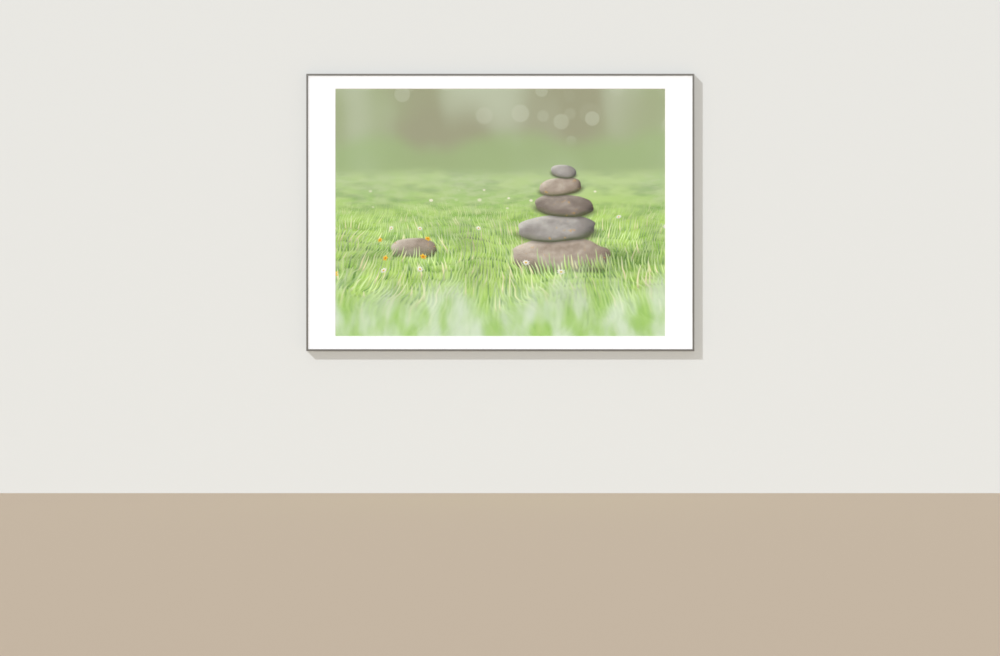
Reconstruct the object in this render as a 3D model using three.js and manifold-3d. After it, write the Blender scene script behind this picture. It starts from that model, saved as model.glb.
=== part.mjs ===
// A framed landscape print for a wall: a slim metal section frame with a clear glazing sheet, a white
// window mat, the printed sheet and a backing board, held by spring clips and joined by corner plates.
// Millimetres, +Z up. The print faces -Y and the wall is on the +Y side.
// The origin is the middle of the whole object, half way between its front face and the wall.
import * as THREE from "three";
import { mergeVertices } from "three/addons/utils/BufferGeometryUtils.js";
import Module from "manifold-3d";

// Driving dimensions
const FRAME_WIDTH = 942;
const FRAME_HEIGHT = 673;
const STAND_OFF = 22; // wall to front face
const FACE = 4.5; // visible width of the rails' front face
const RAIL_DEPTH = 19.5;
const WINDOW_WIDTH = 800;
const WINDOW_HEIGHT = 600;
const GLAZING = 2;
const MAT = 1.6;
const PAPER = 0.5;
const BACKING = 3;
const GAP = 0.3; // between pieces that touch
const BUMPER = STAND_OFF - RAIL_DEPTH; // the wall bumpers fill what the rails leave

// Rail section: u runs inward from the outer edge, d runs from the wall to the front
const OUTER_WALL = 1.3;
const LIP = 1.4;
const WEB = 1.2;
const CHANNEL_WIDTH = 8.9;
const CHANNEL_DEPTH = 5;
const CHANNEL_LIP = 2.1;
const D_RAIL_BACK = BUMPER;
const D_CHANNEL_BACK = D_RAIL_BACK + WEB;
const D_CHANNEL_FRONT = D_CHANNEL_BACK + CHANNEL_DEPTH;
const D_FLOOR_FRONT = D_CHANNEL_FRONT + WEB;
const D_LIP_BACK = STAND_OFF - LIP;
const U_CHANNEL_END = OUTER_WALL + CHANNEL_WIDTH;
const U_RAIL_END = U_CHANNEL_END + WEB;
const U_SLOT_START = OUTER_WALL + CHANNEL_LIP;
const U_SLOT_END = U_CHANNEL_END - CHANNEL_LIP;
const U_SLOT_MIDDLE = (U_SLOT_START + U_SLOT_END) / 2;

// The stack behind the front lip, from the glazing back to the board
const PACK_INSET = OUTER_WALL + GAP;
const D_GLAZING = D_LIP_BACK - GAP - GLAZING;
const D_MAT = D_GLAZING - GAP - MAT;
const D_PAPER = D_MAT - GAP - PAPER;
const D_BACKING = D_PAPER - GAP - BACKING;

// Corner plates, which slide in the channel and are jacked apart by screws
const PLATE_CLEARANCE = 0.5;
const CORNER_ARM = 36;
const CORNER_CHAMFER = 3;
const THREADED_PLATE = 1.8;
const BASE_PLATE = 1.1;
const SCREW_RADIUS = 2;
const SCREW_SETBACK = 24; // from the frame's corner, along each arm
const SCREW_SLOT = 0.8;
const D_SCREW_HEAD = D_RAIL_BACK + 0.6;
const D_THREADED = D_CHANNEL_BACK + GAP;
const D_BASE = D_CHANNEL_FRONT - GAP - BASE_PLATE;

// Spring clips, bowed between the backing board and the channel's floor
const CLIP_LENGTH = 46;
const CLIP_WIDTH = 9;
const CLIP_THICKNESS = 0.5;
const CLIP_START = 6.5;
const CLIPS_ON_SIDE = { bottom: 3, right: 2, top: 3, left: 2 };

// Hangers, each a plate behind the top rail with a foot in its channel and a slot for a wall hook
const HANGER_SPACING = 470;
const HANGER_WIDTH = 36;
const HANGER_PLATE = 1.4;
const HANGER_START = 2.2;
const HANGER_END = 34;
const HANGER_CORNER = 5;
const HOOK_SLOT_WIDTH = 18;
const HOOK_SLOT_START = 18.5;
const HOOK_SLOT_END = 27.5;
const HANGER_SCREW_OFFSET = 12;
const D_HANGER = 0.8;
const HANGER_ROOT = 0.2; // the neck is sunk this far into its plate

// Rubber bumpers, near both ends of the top and bottom rails
const BUMPER_RADIUS = 5;
const BUMPER_FILLET = 0.6;
const BUMPER_SETBACK = 52;
const FILLET_STEPS = 4; // in a quarter turn

const WALL_Y = STAND_OFF / 2;
const ROUND_STEPS = 12; // in half a turn
const CUT = 1; // how far a cutting tool runs past what it cuts

const wasm = await Module();
wasm.setup();

const material = (color, roughness, metalness, extra = {}) =>
  new THREE.MeshStandardMaterial({ color, roughness, metalness, ...extra });

const MATERIALS = {
  rail: material("#84827d", 0.38, 0.9),
  glazing: material("#f4f8f7", 0.04, 0, { transparent: true, opacity: 0.12 }),
  mat: material("#fdfdfb", 0.9, 0),
  print: material("#9fc07a", 0.6, 0),
  board: material("#7a5a3c", 0.85, 0),
  plate: material("#a9abad", 0.4, 0.9),
  spring: material("#6d747b", 0.3, 0.95),
  screw: material("#c9c6bd", 0.3, 0.95),
  bumper: material("#3a3a3b", 0.85, 0),
};

// Solids from closed geometries, and back again

function solidOf(geometry) {
  const bare = geometry.clone();
  bare.deleteAttribute("normal");
  bare.deleteAttribute("uv");
  const merged = mergeVertices(bare, 1e-4);
  return new wasm.Manifold(
    new wasm.Mesh({
      numProp: 3,
      vertProperties: merged.attributes.position.array,
      triVerts: new Uint32Array(merged.index.array),
    }),
  );
}

function geometryOf(solid) {
  const { vertProperties, triVerts } = solid.getMesh();
  const geometry = new THREE.BufferGeometry();
  geometry.setAttribute("position", new THREE.BufferAttribute(vertProperties, 3));
  geometry.setIndex(new THREE.BufferAttribute(triVerts, 1));
  geometry.computeVertexNormals();
  return geometry;
}

const joined = (...geometries) => geometryOf(geometries.map(solidOf).reduce((a, b) => a.add(b)));

const cut = (geometry, ...tools) =>
  geometryOf(tools.map(solidOf).reduce((a, b) => a.subtract(b), solidOf(geometry)));

// Shapes in a plane

function polygon(points) {
  return new THREE.Shape(points.map(([x, y]) => new THREE.Vector2(x, y)));
}

function rectangle(x0, y0, x1, y1) {
  return polygon([
    [x0, y0],
    [x1, y0],
    [x1, y1],
    [x0, y1],
  ]);
}

const circle = (x, y, radius) => new THREE.Shape().absarc(x, y, radius, 0, 2 * Math.PI);

// Extrusions in a side's own frame: x along the rail, z inward from the outer edge, y away from the print

// A shape drawn in (along, inward), thickened from depth near to depth far.
function slab(shape, near, far) {
  const geometry = new THREE.ExtrudeGeometry(shape, {
    depth: far - near,
    bevelEnabled: false,
    curveSegments: ROUND_STEPS,
  });
  return geometry.rotateX(Math.PI / 2).translate(0, WALL_Y - near, 0);
}

// A section drawn in (inward, depth), run along the rail from start to end.
function bar(section, start, end) {
  const along = new THREE.Matrix4().makeBasis(
    new THREE.Vector3(0, 0, 1),
    new THREE.Vector3(0, -1, 0),
    new THREE.Vector3(1, 0, 0),
  );
  return new THREE.ExtrudeGeometry(section, { depth: end - start, bevelEnabled: false })
    .applyMatrix4(along)
    .translate(start, WALL_Y, 0);
}

// A profile drawn in (along, depth), as wide as the stretch from inset start to inset end.
function strip(profile, start, end) {
  const across = new THREE.Matrix4().makeBasis(
    new THREE.Vector3(1, 0, 0),
    new THREE.Vector3(0, -1, 0),
    new THREE.Vector3(0, 0, -1),
  );
  return new THREE.ExtrudeGeometry(profile, {
    depth: end - start,
    bevelEnabled: false,
    curveSegments: ROUND_STEPS,
  })
    .applyMatrix4(across)
    .translate(0, WALL_Y, end);
}

// Rails

function railSection() {
  return polygon([
    [0, D_RAIL_BACK],
    [U_SLOT_START, D_RAIL_BACK],
    [U_SLOT_START, D_CHANNEL_BACK],
    [OUTER_WALL, D_CHANNEL_BACK],
    [OUTER_WALL, D_CHANNEL_FRONT],
    [U_CHANNEL_END, D_CHANNEL_FRONT],
    [U_CHANNEL_END, D_CHANNEL_BACK],
    [U_SLOT_END, D_CHANNEL_BACK],
    [U_SLOT_END, D_RAIL_BACK],
    [U_RAIL_END, D_RAIL_BACK],
    [U_RAIL_END, D_FLOOR_FRONT],
    [OUTER_WALL, D_FLOOR_FRONT],
    [OUTER_WALL, D_LIP_BACK],
    [FACE, D_LIP_BACK],
    [FACE, STAND_OFF],
    [0, STAND_OFF],
  ]);
}

// Both ends are mitred at 45 degrees, each held back by its share of the joint's gap.
function mitredRail(length) {
  const geometry = bar(railSection(), 0, length);
  const position = geometry.attributes.position;
  const holdBack = (GAP / 2) * Math.SQRT2;
  for (let i = 0; i < position.count; i++) {
    const inset = position.getZ(i) + holdBack;
    const isStart = position.getX(i) < length / 2;
    position.setX(i, isStart ? inset : length - inset);
  }
  return geometry;
}

// Corner hardware

function cornerOutline() {
  const near = OUTER_WALL + PLATE_CLEARANCE;
  const far = U_CHANNEL_END - PLATE_CLEARANCE;
  return polygon([
    [near + CORNER_CHAMFER, near],
    [CORNER_ARM, near],
    [CORNER_ARM, far],
    [far, far],
    [far, CORNER_ARM],
    [near, CORNER_ARM],
    [near, near + CORNER_CHAMFER],
  ]);
}

function threadedPlate() {
  const outline = cornerOutline();
  outline.holes.push(circle(SCREW_SETBACK, U_SLOT_MIDDLE, SCREW_RADIUS + GAP));
  outline.holes.push(circle(U_SLOT_MIDDLE, SCREW_SETBACK, SCREW_RADIUS + GAP));
  return slab(outline, D_THREADED, D_THREADED + THREADED_PLATE);
}

const basePlate = () => slab(cornerOutline(), D_BASE, D_BASE + BASE_PLATE);

// A slotted set screw centred on the frame's own origin, with its head towards the wall.
function setScrew(near, far) {
  const body = slab(circle(0, 0, SCREW_RADIUS), near, far);
  const reach = SCREW_RADIUS + CUT;
  const slot = slab(
    rectangle(-reach, -SCREW_SLOT / 2, reach, SCREW_SLOT / 2),
    near - CUT,
    near + SCREW_SLOT,
  );
  return cut(body, slot);
}

// Spring clips

function springClip() {
  const crown = D_FLOOR_FRONT + GAP;
  const foot = D_BACKING - GAP;
  const rise = foot - crown - CLIP_THICKNESS;
  const half = CLIP_LENGTH / 2;
  const inner = (half * half + rise * rise) / (2 * rise);
  const outer = inner + CLIP_THICKNESS;
  const spread = Math.asin(half / inner);
  const down = -Math.PI / 2;
  const profile = new THREE.Shape();
  profile.absarc(0, crown + outer, outer, down - spread, down + spread, false);
  profile.absarc(0, crown + outer, inner, down + spread, down - spread, true);
  return strip(profile, CLIP_START, CLIP_START + CLIP_WIDTH);
}

// Hangers

function hangerOutline() {
  const half = HANGER_WIDTH / 2;
  const outline = new THREE.Shape();
  outline.moveTo(-half, HANGER_START);
  outline.lineTo(half, HANGER_START);
  outline.lineTo(half, HANGER_END - HANGER_CORNER);
  outline.absarc(half - HANGER_CORNER, HANGER_END - HANGER_CORNER, HANGER_CORNER, 0, Math.PI / 2);
  outline.lineTo(HANGER_CORNER - half, HANGER_END);
  outline.absarc(HANGER_CORNER - half, HANGER_END - HANGER_CORNER, HANGER_CORNER, Math.PI / 2, Math.PI);
  const slotHalf = HOOK_SLOT_WIDTH / 2;
  outline.holes.push(rectangle(-slotHalf, HOOK_SLOT_START, slotHalf, HOOK_SLOT_END));
  return outline;
}

// The screw's hole is off to one side of the middle, by a signed offset along the rail.
function hanger(screwOffset) {
  const half = HANGER_WIDTH / 2;
  const footNear = D_CHANNEL_BACK + GAP;
  const footFar = footNear + HANGER_PLATE;
  const plate = slab(hangerOutline(), D_HANGER, D_HANGER + HANGER_PLATE);
  const neck = slab(
    rectangle(-half, U_SLOT_START + GAP, half, U_SLOT_END - GAP),
    D_HANGER + HANGER_PLATE - HANGER_ROOT,
    footNear + HANGER_ROOT,
  );
  const foot = slab(
    rectangle(-half, OUTER_WALL + PLATE_CLEARANCE, half, U_CHANNEL_END - PLATE_CLEARANCE),
    footNear,
    footFar,
  );
  const hole = slab(
    circle(screwOffset, U_SLOT_MIDDLE, SCREW_RADIUS + GAP),
    D_HANGER - CUT,
    footFar + CUT,
  );
  return cut(joined(plate, neck, foot), hole);
}

// Wall bumpers, each a moulded disc with a rounded rim

function wallBumper() {
  const profile = [
    new THREE.Vector2(0, -BUMPER + GAP),
    new THREE.Vector2(BUMPER_RADIUS, -BUMPER + GAP),
    new THREE.Vector2(BUMPER_RADIUS, -BUMPER_FILLET),
  ];
  for (let i = 1; i <= FILLET_STEPS; i++) {
    const angle = (i / FILLET_STEPS) * (Math.PI / 2);
    const radius = BUMPER_RADIUS - BUMPER_FILLET * (1 - Math.cos(angle));
    profile.push(new THREE.Vector2(radius, -BUMPER_FILLET * (1 - Math.sin(angle))));
  }
  profile.push(new THREE.Vector2(0, 0));
  return new THREE.LatheGeometry(profile, 2 * ROUND_STEPS).translate(0, WALL_Y, 0);
}

// The sheets in the frame, drawn about the frame's middle

function sheet(near, far) {
  const x = FRAME_WIDTH / 2 - PACK_INSET;
  const z = FRAME_HEIGHT / 2 - PACK_INSET;
  return slab(rectangle(-x, -z, x, z), near, far);
}

// The window is cut at 45 degrees, widening towards the front.
function windowMat() {
  const near = D_MAT - CUT;
  const far = D_MAT + MAT + CUT;
  const x = WINDOW_WIDTH / 2 - CUT;
  const z = WINDOW_HEIGHT / 2 - CUT;
  const tool = slab(rectangle(-x, -z, x, z), near, far);
  const position = tool.attributes.position;
  for (let i = 0; i < position.count; i++) {
    if (position.getY(i) < WALL_Y - D_MAT) {
      position.setX(i, position.getX(i) + Math.sign(position.getX(i)) * (far - near));
      position.setZ(i, position.getZ(i) + Math.sign(position.getZ(i)) * (far - near));
    }
  }
  return cut(sheet(D_MAT, D_MAT + MAT), tool);
}

// Assembly

function place(parent, name, geometry, finish, along = 0, inward = 0) {
  const mesh = new THREE.Mesh(geometry, MATERIALS[finish]);
  mesh.name = name;
  mesh.position.set(along, 0, inward);
  parent.add(mesh);
}

const picture = new THREE.Group();

place(picture, "glazing", sheet(D_GLAZING, D_GLAZING + GLAZING), "glazing");
place(picture, "window_mat", windowMat(), "mat");
place(picture, "print_sheet", sheet(D_PAPER, D_PAPER + PAPER), "print");
place(picture, "backing_board", sheet(D_BACKING, D_BACKING + BACKING), "board");

const cornerScrew = setScrew(D_SCREW_HEAD, D_BASE - GAP);
const hangerScrew = setScrew(D_HANGER + GAP, D_CHANNEL_FRONT - GAP);
const clip = springClip();
const bumper = wallBumper();

for (const [height, up] of [["bottom", -1], ["top", 1]]) {
  for (const [hand, right] of [["left", -1], ["right", 1]]) {
    const x = right * (FRAME_WIDTH / 2 - BUMPER_SETBACK);
    const z = up * (FRAME_HEIGHT / 2 - U_SLOT_MIDDLE);
    place(picture, `wall_bumper_${height}_${hand}`, bumper, "bumper", x, z);
  }
}

// Each side's group starts at one corner, with x along the rail and z towards the frame's middle.
const SIDES = [
  { side: "bottom", corner: "bottom_left", x: -1, z: -1, length: FRAME_WIDTH },
  { side: "right", corner: "bottom_right", x: 1, z: -1, length: FRAME_HEIGHT },
  { side: "top", corner: "top_right", x: 1, z: 1, length: FRAME_WIDTH },
  { side: "left", corner: "top_left", x: -1, z: 1, length: FRAME_HEIGHT },
];

SIDES.forEach(({ side, corner, x, z, length }, quarter) => {
  const group = new THREE.Group();
  group.position.set((x * FRAME_WIDTH) / 2, 0, (z * FRAME_HEIGHT) / 2);
  group.rotation.y = (-quarter * Math.PI) / 2;
  picture.add(group);

  place(group, `rail_${side}`, mitredRail(length), "rail");
  place(group, `corner_plate_${corner}`, threadedPlate(), "plate");
  place(group, `corner_base_${corner}`, basePlate(), "plate");
  place(group, `corner_screw_${corner}_1`, cornerScrew, "screw", SCREW_SETBACK, U_SLOT_MIDDLE);
  place(group, `corner_screw_${corner}_2`, cornerScrew, "screw", U_SLOT_MIDDLE, SCREW_SETBACK);

  const clips = CLIPS_ON_SIDE[side];
  for (let i = 0; i < clips; i++) {
    place(group, `spring_clip_${side}_${i + 1}`, clip, "spring", (length * (i + 0.5)) / clips);
  }

  if (side === "top") {
    for (const [hand, sign] of [["right", -1], ["left", 1]]) {
      const middle = length / 2 + (sign * HANGER_SPACING) / 2;
      const screwOffset = sign * HANGER_SCREW_OFFSET;
      place(group, `hanger_${hand}`, hanger(screwOffset), "plate", middle);
      place(group, `hanger_screw_${hand}`, hangerScrew, "screw", middle + screwOffset, U_SLOT_MIDDLE);
    }
  }
});

export default picture;
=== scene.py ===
"""A framed landscape print on a plain wall.

Metres, +Z up. The print faces -Y and the wall is on the +Y side.
"""

import math

import bmesh
import bpy
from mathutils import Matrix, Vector


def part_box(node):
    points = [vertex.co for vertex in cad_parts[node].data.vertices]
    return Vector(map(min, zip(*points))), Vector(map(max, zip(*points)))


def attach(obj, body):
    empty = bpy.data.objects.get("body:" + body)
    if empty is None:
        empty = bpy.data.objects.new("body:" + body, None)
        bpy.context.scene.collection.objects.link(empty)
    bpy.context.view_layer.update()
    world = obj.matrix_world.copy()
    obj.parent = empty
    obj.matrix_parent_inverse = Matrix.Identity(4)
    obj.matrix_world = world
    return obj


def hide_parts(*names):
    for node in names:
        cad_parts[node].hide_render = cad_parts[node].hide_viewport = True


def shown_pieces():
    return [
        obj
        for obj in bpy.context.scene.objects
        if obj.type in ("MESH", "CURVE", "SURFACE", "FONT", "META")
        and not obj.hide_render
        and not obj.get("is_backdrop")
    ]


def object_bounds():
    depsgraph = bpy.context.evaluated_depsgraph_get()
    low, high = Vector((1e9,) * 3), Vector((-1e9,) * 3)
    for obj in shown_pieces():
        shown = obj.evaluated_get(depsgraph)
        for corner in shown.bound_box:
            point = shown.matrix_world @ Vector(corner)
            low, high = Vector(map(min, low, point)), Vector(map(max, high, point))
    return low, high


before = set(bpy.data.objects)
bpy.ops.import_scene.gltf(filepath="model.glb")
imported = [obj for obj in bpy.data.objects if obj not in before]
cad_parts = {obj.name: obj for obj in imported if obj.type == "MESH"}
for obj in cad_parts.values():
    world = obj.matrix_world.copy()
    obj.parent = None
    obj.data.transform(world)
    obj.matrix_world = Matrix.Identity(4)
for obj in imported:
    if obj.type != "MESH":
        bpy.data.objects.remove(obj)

CAD_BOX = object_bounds()
BODY = "root"

# Sizes and places

FRONT_Y = CAD_BOX[0].y
WALL_Y = CAD_BOX[1].y
WINDOW_WIDTH = 0.8
WINDOW_HEIGHT = 0.6
UNDER_MAT = 0.004  # how far the picture runs on behind the mat
PHOTO_WIDTH = 1000
PHOTO_HEIGHT = 656
FRAME_WIDTH = 0.942
FRAME_PIXELS = 388.12
METRES_PER_PIXEL = FRAME_WIDTH / FRAME_PIXELS
PRINT_CENTRE_PIXEL = (500.3, 212.4)
FLOOR_PIXEL = 493.5  # where the wall meets the floor
LENS = 0.150
SENSOR = 0.036
MILLIMETRES = 1000  # in a metre
UNIT = WINDOW_HEIGHT / 2  # of the picture's own plane coordinates
BLACK = (0.0, 0.0, 0.0, 1.0)
WHITE = (1.0, 1.0, 1.0, 1.0)

# Sockets of a Mix node that mixes colours
MIX_FACTOR = 0
MIX_UNDER = 6
MIX_OVER = 7
MIX_RESULT = 2

# Steps that keep the random numbers of different seeds and cells apart
SEED_SHIFT = (13.7, -7.3)
SEED_STEP = 977
CELL_ROW_STEP = 131
BLOSSOM_STEP = 500
BLADE_ROW_SHIFT = 31.7


# Node helpers


def linear(red, green, blue):
    """A colour given as 0 to 255 on a screen, in the numbers that shaders use."""

    def one(level):
        level /= 255
        return level / 12.92 if level <= 0.04045 else ((level + 0.055) / 1.055) ** 2.4

    return (one(red), one(green), one(blue), 1.0)


def feed(tree, entry, term):
    """Gives a node's input a field, a colour or a number."""
    if isinstance(term, Field):
        tree.links.new(term.socket, entry)
    else:
        entry.default_value = term


def calc(tree, operation, *terms):
    """The result of a Math node on fields and numbers."""
    node = tree.nodes.new("ShaderNodeMath")
    node.operation = operation
    for entry, term in zip(node.inputs, terms):
        feed(tree, entry, term)
    return Field(tree, node.outputs[0])


class Field:
    """A number or colour that varies over a surface. Arithmetic on a number adds nodes to its tree."""

    def __init__(self, tree, socket):
        self.tree = tree
        self.socket = socket

    def __add__(self, other):
        return calc(self.tree, "ADD", self, other)

    def __radd__(self, other):
        return calc(self.tree, "ADD", other, self)

    def __sub__(self, other):
        return calc(self.tree, "SUBTRACT", self, other)

    def __rsub__(self, other):
        return calc(self.tree, "SUBTRACT", other, self)

    def __mul__(self, other):
        return calc(self.tree, "MULTIPLY", self, other)

    def __truediv__(self, other):
        return calc(self.tree, "DIVIDE", self, other)

    def __pow__(self, other):
        return calc(self.tree, "POWER", self, other)

    def __neg__(self):
        return calc(self.tree, "MULTIPLY", self, -1)

    def __abs__(self):
        return calc(self.tree, "ABSOLUTE", self)

    def __lt__(self, other):
        return calc(self.tree, "LESS_THAN", self, other)

    def floor(self):
        return calc(self.tree, "FLOOR", self)

    def cosine(self):
        return calc(self.tree, "COSINE", self)

    def angle_of(self, across):
        return calc(self.tree, "ARCTAN2", self, across)

    def at_least(self, other):
        return calc(self.tree, "MAXIMUM", self, other)

    def at_most(self, other):
        return calc(self.tree, "MINIMUM", self, other)


def ramp(field, start, end):
    """Runs smoothly from 0 where the field is at start to 1 where it is at end."""
    node = field.tree.nodes.new("ShaderNodeMapRange")
    node.interpolation_type = "SMOOTHSTEP"
    node.clamp = False  # this kind stays between 0 and 1 without
    feed(field.tree, node.inputs["Value"], field)
    feed(field.tree, node.inputs["From Min"], start)
    feed(field.tree, node.inputs["From Max"], end)
    return Field(field.tree, node.outputs["Result"])


def swing(field):
    """How far a field that runs from 0 to 1 is from its middle."""
    return field - 0.5


def length(x, y):
    """How far a point is from the origin."""
    return calc(x.tree, "SQRT", x * x + y * y)


def coordinates(tree):
    """The row frame's x, y and z, in metres."""
    place = tree.nodes.new("ShaderNodeTexCoord")
    split = tree.nodes.new("ShaderNodeSeparateXYZ")
    tree.links.new(place.outputs["Object"], split.inputs[0])
    return [Field(tree, out) for out in split.outputs]


def noise_node(tree, detail, roughness):
    """Cloudy noise about 0.5, over a plane, with blobs about one unit wide."""
    node = tree.nodes.new("ShaderNodeTexNoise")
    node.noise_dimensions = "2D"
    node.inputs["Scale"].default_value = 1.0
    node.inputs["Detail"].default_value = detail
    node.inputs["Roughness"].default_value = roughness
    return node


def noise(x, y, seed, detail=2.0, roughness=0.5):
    """Noise over two fields."""
    shift_x, shift_y = SEED_SHIFT
    place = x.tree.nodes.new("ShaderNodeCombineXYZ")
    feed(x.tree, place.inputs["X"], x + seed * shift_x)
    feed(x.tree, place.inputs["Y"], y + seed * shift_y)
    node = noise_node(x.tree, detail, roughness)
    x.tree.links.new(place.outputs["Vector"], node.inputs["Vector"])
    return Field(x.tree, node.outputs["Fac"])


def clouds(tree, across, up, seed, detail=2.0, roughness=0.5):
    """Noise over the picture, with about so many blobs across and up a unit."""
    shift_x, shift_y = SEED_SHIFT
    place = tree.nodes.new("ShaderNodeTexCoord")
    turned = tree.nodes.new("ShaderNodeMapping")
    turned.inputs["Scale"].default_value = (across / UNIT, 1, up / UNIT)
    turned.inputs["Rotation"].default_value = (-math.pi / 2, 0, 0)
    turned.inputs["Location"].default_value = (seed * shift_x, seed * shift_y, 0)
    node = noise_node(tree, detail, roughness)
    tree.links.new(place.outputs["Object"], turned.inputs["Vector"])
    tree.links.new(turned.outputs["Vector"], node.inputs["Vector"])
    return Field(tree, node.outputs["Fac"])


def dice(number):
    """Three random numbers from 0 to 1 for each whole number."""
    node = number.tree.nodes.new("ShaderNodeTexWhiteNoise")
    node.noise_dimensions = "1D"
    feed(number.tree, node.inputs["W"], number)
    split = number.tree.nodes.new("ShaderNodeSeparateColor")
    number.tree.links.new(node.outputs["Color"], split.inputs[0])
    return [Field(number.tree, out) for out in split.outputs]


def blend(mask, under, over):
    """One colour painted over another where the mask is 1."""
    tree = next(term.tree for term in (mask, under, over) if isinstance(term, Field))
    node = tree.nodes.new("ShaderNodeMix")
    node.data_type = "RGBA"
    feed(tree, node.inputs[MIX_FACTOR], mask)
    feed(tree, node.inputs[MIX_UNDER], under)
    feed(tree, node.inputs[MIX_OVER], over)
    return Field(tree, node.outputs[MIX_RESULT])


def shade(colour, amount):
    """A colour made lighter or darker by a factor."""
    lit = blend(1 - amount, colour, BLACK)
    lit.socket.node.clamp_factor = False
    return lit


def grouped(name, colours, numbers, build):
    """Makes a node group of a function of fields, and returns a function that adds it to a tree."""
    group = bpy.data.node_groups.new(name, "ShaderNodeTree")
    for kind, names in (("NodeSocketColor", colours), ("NodeSocketFloat", numbers)):
        for each in names.split():
            group.interface.new_socket(each, in_out="INPUT", socket_type=kind)
    group.interface.new_socket("painted", in_out="OUTPUT", socket_type="NodeSocketColor")
    entry = group.nodes.new("NodeGroupInput")
    leave = group.nodes.new("NodeGroupOutput")
    fields = {out.name: Field(group, out) for out in entry.outputs if out.name}
    feed(group, leave.inputs[0], build(**fields))

    def add(tree, **terms):
        node = tree.nodes.new("ShaderNodeGroup")
        node.node_tree = group
        for each, term in terms.items():
            feed(tree, node.inputs[each], term)
        return Field(tree, node.outputs[0])

    return add


def new_material(name, roughness=0.5, metallic=0.0):
    """A material, its node tree and its main shader."""
    made = bpy.data.materials.new(name)
    made.use_nodes = True
    shader = made.node_tree.nodes["Principled BSDF"]
    shader.inputs["Roughness"].default_value = roughness
    shader.inputs["Metallic"].default_value = metallic
    return made, made.node_tree, shader


def emboss(tree, shader, height, depth):
    """Makes a shader's surface rise and fall by a depth in metres as a field goes from 0 to 1."""
    node = tree.nodes.new("ShaderNodeBump")
    node.inputs["Distance"].default_value = depth
    feed(tree, node.inputs["Height"], height)
    tree.links.new(node.outputs["Normal"], shader.inputs["Normal"])


# The picture: smooth stones stacked in a meadow, in plane coordinates with the window 2 units high.
# A pair of numbers is where a mask starts and where it is full, and a cover is how much of it shows.

HAZE = linear(201, 207, 186)
DISTANT_LIGHT = linear(192, 202, 178)
DISTANT_OLIVE = linear(164, 176, 138)
DISTANT_BROWN = linear(158, 160, 132)
DISTANT_GREEN = linear(160, 186, 130)
FAR_GRASS = linear(180, 208, 134)
FAR_BLOSSOM = linear(244, 242, 220)
GRASS_PALE = linear(222, 240, 194)
GRASS_LIGHT = linear(184, 221, 108)
GRASS_MIDDLE = linear(152, 200, 88)
GRASS_DEEP = linear(76, 132, 22)
GRASS_SHADE = linear(54, 96, 22)
GRASS_SOFT = linear(218, 235, 212)
GRASS_NEAR = linear(164, 206, 112)
GRASS_GLOW = linear(120, 140, 70)
STRAW = linear(232, 226, 176)
STONE_CREVICE = linear(58, 54, 44)
LICHEN = linear(214, 166, 66)
DAISY_PETAL = linear(250, 250, 244)
DAISY_CENTRE = linear(236, 200, 70)
BUTTERCUP_PETAL = linear(250, 200, 52)
BUTTERCUP_CENTRE = linear(214, 128, 30)
PAPER_WHITE = linear(238, 238, 236)
PRINT_EXPOSURE = 0.81  # against the light, which is bright enough to make the mat white

# A stone's dark, middle and pale tones
WARM_STONE = (linear(92, 80, 70), linear(154, 140, 126), linear(220, 210, 197))
COOL_STONE = (linear(86, 84, 82), linear(146, 142, 138), linear(212, 210, 206))
DARK_STONE = (linear(70, 63, 58), linear(124, 113, 105), linear(188, 179, 168))

NOISE_SPAN = (0.35, 0.65)  # where most of a noise's values lie
WIDE_NOISE_SPAN = (0.3, 0.7)

# The trees and slopes behind, far out of focus
HORIZON = 0.3
TRUNKS = (0.42, 0.7)
TRUNK_COVER = 0.8
DISCS = ((3.3, 3), (4.6, 8))  # discs of light: how many per unit, and their seed
DISC_GROWTH = 0.12
DISC_RIM = (0.21, 0.16)
DISC_CHANCE = (0.45, 1.0)
DISC_HEIGHTS = (0.42, 0.75)
DISC_COVER = 0.38
RIDGE = HORIZON + 0.28
RIDGE_SWELL = 0.5
RIDGE_BLUR = 0.1
RIDGE_COVER = 0.7
JITTER = 0.4  # how far a random point strays from the middle of its cell

# The grass that is too far away for blades
MEADOW_SWELL = 0.2
MEADOW_EDGE = (HORIZON + 0.05, HORIZON - 0.06)
TUFT_COVER = 0.8
PATCH_COVER = 0.7
HOLLOWS = (0.42, 0.78)
HOLLOW_COVER = 0.5
MEADOW_HAZE = (-0.1, HORIZON)
MEADOW_HAZE_COVER = 0.5
FAR_BLOSSOMS_PER_UNIT = 10
FAR_BLOSSOM_FLATNESS = 1.4
FAR_BLOSSOM_GROWTH = 0.07
FAR_BLOSSOM_RIM = (0.16, 0.04)
FAR_BLOSSOM_CHANCE = (0.76, 0.95)
FAR_BLOSSOM_TOP = (0.24, 0.16)
FAR_BLOSSOM_BOTTOM = (-0.02, 0.06)
FAR_BLOSSOM_COVER = 0.9

# Blades of grass: across in cells of one blade each, and up in shares of the row's height
SHORTEST_BLADE = 0.4
BLADE_LEAN = 0.55
BLADE_HALF_WIDTH = 0.34
BLADE_TAPER = 0.7
CELL_EDGE = 0.5
CELL_EDGE_BLUR = 0.2
BLADE_TIP = (1.02, 0.9)
BLADE_ROOT = (0.0, 0.12)
GREENS = (0.0, 0.75)
DRY_BLADES = (0.84, 0.9)
LIT_TIP = (0.15, 1.0)
LIT_TIP_COVER = 0.65
SHADED_ROOT = (0.4, 0.0)
SHADED_ROOT_COVER = 0.6
PATCH_CONTRAST = 1.4
BLADE_ROUNDNESS = 0.3

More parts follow.
